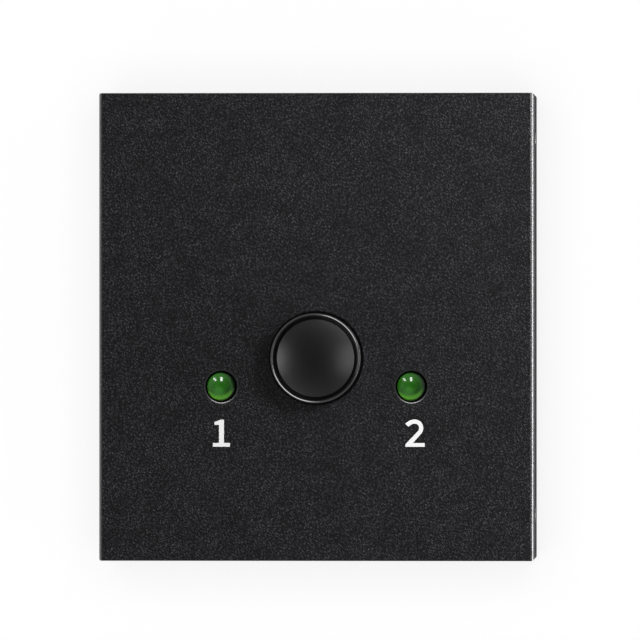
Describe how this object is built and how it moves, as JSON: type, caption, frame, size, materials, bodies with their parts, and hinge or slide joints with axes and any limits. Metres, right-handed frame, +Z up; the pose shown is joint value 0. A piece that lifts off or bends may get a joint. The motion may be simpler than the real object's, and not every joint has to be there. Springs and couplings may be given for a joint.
{
  "type": "hdmi switch box",
  "caption": "Small flat steel box with a round dished push button, a green lamp for each channel, and video sockets in both end walls.",
  "frame": {"origin": "on the table under the middle of the case", "axes": "+Z up through the button, +Y towards the end with the shared socket, +X to the right of channel 2"},
  "size_m": [0.0558, 0.06, 0.0215],
  "materials": {
    "cover_paint": "fine-texture charcoal powder coat on steel",
    "tray_paint": "fine-texture charcoal powder coat on steel",
    "screw_black": "black zinc plating on steel",
    "zinc_steel": "clear zinc plating on steel",
    "board_epoxy": "green solder mask on glass epoxy",
    "socket_steel": "nickel plating on stamped steel",
    "socket_plastic": "moulded liquid crystal polymer",
    "contact_gold": "gold plating on copper alloy",
    "switch_plastic": "moulded",
    "tinned_brass": "tin plating",
    "tinned_steel": "tin plating",
    "spring_steel": "drawn wire",
    "plunger_plastic": "moulded acetal",
    "bronze": "phosphor bronze strip",
    "cap_plastic": "moulded satin ABS",
    "lens_green": "green diffused epoxy",
    "spacer_plastic": "moulded",
    "chip_epoxy": "moulded epoxy",
    "capacitor_ceramic": "fired ceramic",
    "resistor_ceramic": "glazed ceramic",
    "foot_rubber": "moulded"
  },
  "bodies": {
    "case": {"base_tray": "tray_paint", "top_cover": "cover_paint", "cover_screws": "screw_black", "board_posts": "zinc_steel", "board_screws": "zinc_steel", "circuit_board": "board_epoxy", "socket_1_shell": "socket_steel", "socket_1_tongue": "socket_plastic", "socket_1_contacts": "contact_gold", "socket_2_shell": "socket_steel", "socket_2_tongue": "socket_plastic", "socket_2_contacts": "contact_gold", "socket_common_shell": "socket_steel", "socket_common_tongue": "socket_plastic", "socket_common_contacts": "contact_gold", "switch_housing": "switch_plastic", "switch_terminals": "tinned_brass", "latch_wire": "spring_steel", "return_spring": "spring_steel", "lamp_1_lens": "lens_green", "lamp_1_leads": "tinned_steel", "lamp_1_spacer": "spacer_plastic", "lamp_2_lens": "lens_green", "lamp_2_leads": "tinned_steel", "lamp_2_spacer": "spacer_plastic", "video_switch_chip": "chip_epoxy", "surge_arrays": "chip_epoxy", "power_diodes": "chip_epoxy", "capacitors": "capacitor_ceramic", "resistors": "resistor_ceramic", "foot_front_left": "foot_rubber", "foot_front_right": "foot_rubber", "foot_back_left": "foot_rubber", "foot_back_right": "foot_rubber"},
    "button": {"button_cap": "cap_plastic", "switch_plunger": "plunger_plastic", "bridge_contacts": "bronze"}
  },
  "joints": [
    {"name": "button_press", "type": "slide", "parent": "case", "child": "button", "axis": [0, 0, -1], "range_m": [0, 0.002], "stiffness_N_per_m": 600, "springref_m": -0.0014, "deforming": ["return_spring"]}
  ]
}
